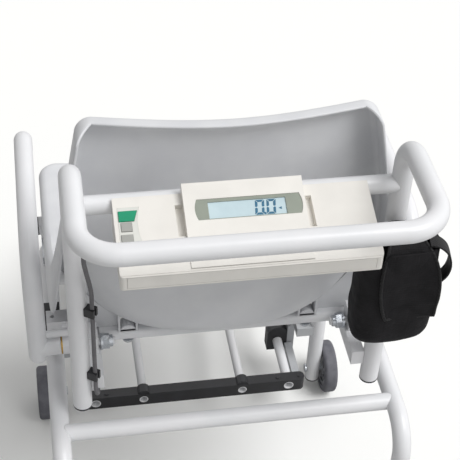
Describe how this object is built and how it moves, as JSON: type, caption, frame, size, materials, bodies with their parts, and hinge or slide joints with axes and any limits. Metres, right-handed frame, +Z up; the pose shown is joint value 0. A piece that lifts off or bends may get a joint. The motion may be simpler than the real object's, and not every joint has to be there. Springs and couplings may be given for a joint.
{
  "type": "digital chair scale",
  "caption": "Wheeled digital chair scale with swing-up armrests, a sliding footrest, a rear push handle and a sloping display console with keys.",
  "frame": {"origin": "on the floor, midway between the push handle and the footplate edge, in the middle plane", "axes": "+X to the right when standing behind the push handle, +Y forwards in the direction of sitting, +Z up"},
  "size_m": [0.563, 0.97, 0.906],
  "materials": {
    "white_paint": "powder coat, satin",
    "bracket_paint": "powder coat, satin",
    "black_plastic": "moulded, slightly textured",
    "shell_plastic": "moulded, fine satin",
    "zinc_steel": "zinc plated",
    "brass": "turned brass",
    "cell_aluminium": "milled",
    "box_plastic": "moulded",
    "lead_rubber": "extruded sheath",
    "wheel_plastic": "moulded",
    "grey_rubber": "moulded tread",
    "mat_rubber": "ribbed",
    "console_plastic": "moulded, satin",
    "window_glass": "printed polycarbonate",
    "lcd_glass": "reflective display",
    "circuit_board": "solder mask",
    "keypad_film": "printed film",
    "green_key": "moulded",
    "grey_key": "moulded",
    "battery_wrap": "shrink wrap",
    "pouch_fabric": "woven nylon"
  },
  "bodies": {
    "frame": {"push_frame": "white_paint", "cross_tube": "white_paint", "tube_plugs": "black_plastic", "back_brackets": "bracket_paint", "seat_shell": "shell_plastic", "seat_frame": "white_paint", "seat_cross_bars": "white_paint", "bar_end_caps": "black_plastic", "seat_bolts": "zinc_steel", "pivot_washers": "brass", "side_frame_left": "white_paint", "side_frame_right": "white_paint", "base_cross_tubes": "white_paint", "load_cells": "cell_aluminium", "load_cell_bolts": "zinc_steel", "load_cell_covers": "black_plastic", "junction_box": "box_plastic", "junction_lid": "box_plastic", "lead_glands": "black_plastic", "sensor_lead": "lead_rubber", "lead_clips": "black_plastic", "front_axles": "zinc_steel", "castor_stems": "zinc_steel", "guide_blocks": "black_plastic", "guide_brackets": "bracket_paint", "console_base": "console_plastic", "console_cover": "console_plastic", "display_window": "window_glass", "lcd_module": "lcd_glass", "main_circuit_board": "circuit_board", "keypad_membrane": "keypad_film", "batteries": "battery_wrap", "console_clamps": "black_plastic", "console_screws": "zinc_steel", "accessory_pouch": "pouch_fabric", "pouch_straps": "pouch_fabric"},
    "armrest_left": {"armrest_left": "white_paint", "pivot_nut_left": "zinc_steel"},
    "armrest_right": {"armrest_right": "white_paint", "pivot_nut_right": "zinc_steel"},
    "footrest": {"footrest_tubes": "white_paint", "footrest_end_bar": "black_plastic", "footrest_rails": "bracket_paint", "footplate": "white_paint", "footplate_mat": "mat_rubber"},
    "front_wheel_left": {"front_wheel_left": "wheel_plastic", "front_tyre_left": "grey_rubber"},
    "front_wheel_right": {"front_wheel_right": "wheel_plastic", "front_tyre_right": "grey_rubber"},
    "castor_left": {"castor_fork_left": "zinc_steel"},
    "castor_right": {"castor_fork_right": "zinc_steel"},
    "castor_wheel_left": {"castor_wheel_left": "grey_rubber"},
    "castor_wheel_right": {"castor_wheel_right": "grey_rubber"},
    "castor_pedal_left": {"castor_pedal_left": "black_plastic"},
    "castor_pedal_right": {"castor_pedal_right": "black_plastic"},
    "key_start": {"key_start": "green_key"},
    "key_hold": {"key_hold": "grey_key"},
    "key_mode": {"key_mode": "grey_key"},
    "battery_door": {"battery_door": "console_plastic"}
  },
  "joints": [
    {"name": "armrest_left_swing", "type": "hinge", "parent": "frame", "child": "armrest_left", "pos_m": [-0.233, -0.2465, 0.521], "axis": [1, 0, 0], "range_deg": [0, 90]},
    {"name": "armrest_right_swing", "type": "hinge", "parent": "frame", "child": "armrest_right", "pos_m": [0.233, -0.2465, 0.521], "axis": [1, 0, 0], "range_deg": [0, 90]},
    {"name": "footrest_slide", "type": "slide", "parent": "frame", "child": "footrest", "axis": [0, 1, 0], "range_m": [-0.27, 0]},
    {"name": "front_wheel_left_spin", "type": "hinge", "parent": "frame", "child": "front_wheel_left", "pos_m": [-0.2695, 0.0805, 0.05], "axis": [1, 0, 0], "continuous": true},
    {"name": "front_wheel_right_spin", "type": "hinge", "parent": "frame", "child": "front_wheel_right", "pos_m": [0.2695, 0.0805, 0.05], "axis": [1, 0, 0], "continuous": true},
    {"name": "castor_left_swivel", "type": "hinge", "parent": "frame", "child": "castor_left", "pos_m": [-0.243, -0.3975, 0.12], "axis": [0, 0, 1], "continuous": true},
    {"name": "castor_wheel_left_spin", "type": "hinge", "parent": "castor_left", "child": "castor_wheel_left", "pos_m": [-0.243, -0.4295, 0.05], "axis": [1, 0, 0], "continuous": true},
    {"name": "castor_pedal_left_press", "type": "hinge", "parent": "castor_left", "child": "castor_pedal_left", "pos_m": [-0.243, -0.4315, 0.111], "axis": [1, 0, 0], "range_deg": [0, 10]},
    {"name": "castor_right_swivel", "type": "hinge", "parent": "frame", "child": "castor_right", "pos_m": [0.243, -0.3975, 0.12], "axis": [0, 0, 1], "continuous": true},
    {"name": "castor_wheel_right_spin", "type": "hinge", "parent": "castor_right", "child": "castor_wheel_right", "pos_m": [0.243, -0.4295, 0.05], "axis": [1, 0, 0], "continuous": true},
    {"name": "castor_pedal_right_press", "type": "hinge", "parent": "castor_right", "child": "castor_pedal_right", "pos_m": [0.243, -0.4315, 0.111], "axis": [1, 0, 0], "range_deg": [0, 10]},
    {"name": "key_start_press", "type": "slide", "parent": "frame", "child": "key_start", "axis": [0, 0.2857, -0.9583], "range_m": [0, 0.0008], "stiffness_N_per_m": 800, "springref_m": -0.0005},
    {"name": "key_hold_press", "type": "slide", "parent": "frame", "child": "key_hold", "axis": [0, 0.2857, -0.9583], "range_m": [0, 0.0008], "stiffness_N_per_m": 800, "springref_m": -0.0005},
    {"name": "key_mode_press", "type": "slide", "parent": "frame", "child": "key_mode", "axis": [0, 0.2857, -0.9583], "range_m": [0, 0.0008], "stiffness_N_per_m": 800, "springref_m": -0.0005},
    {"name": "battery_door_open", "type": "hinge", "parent": "frame", "child": "battery_door", "pos_m": [0, -0.4155, 0.7855], "axis": [1, 0, 0], "range_deg": [0, 95]}
  ]
}
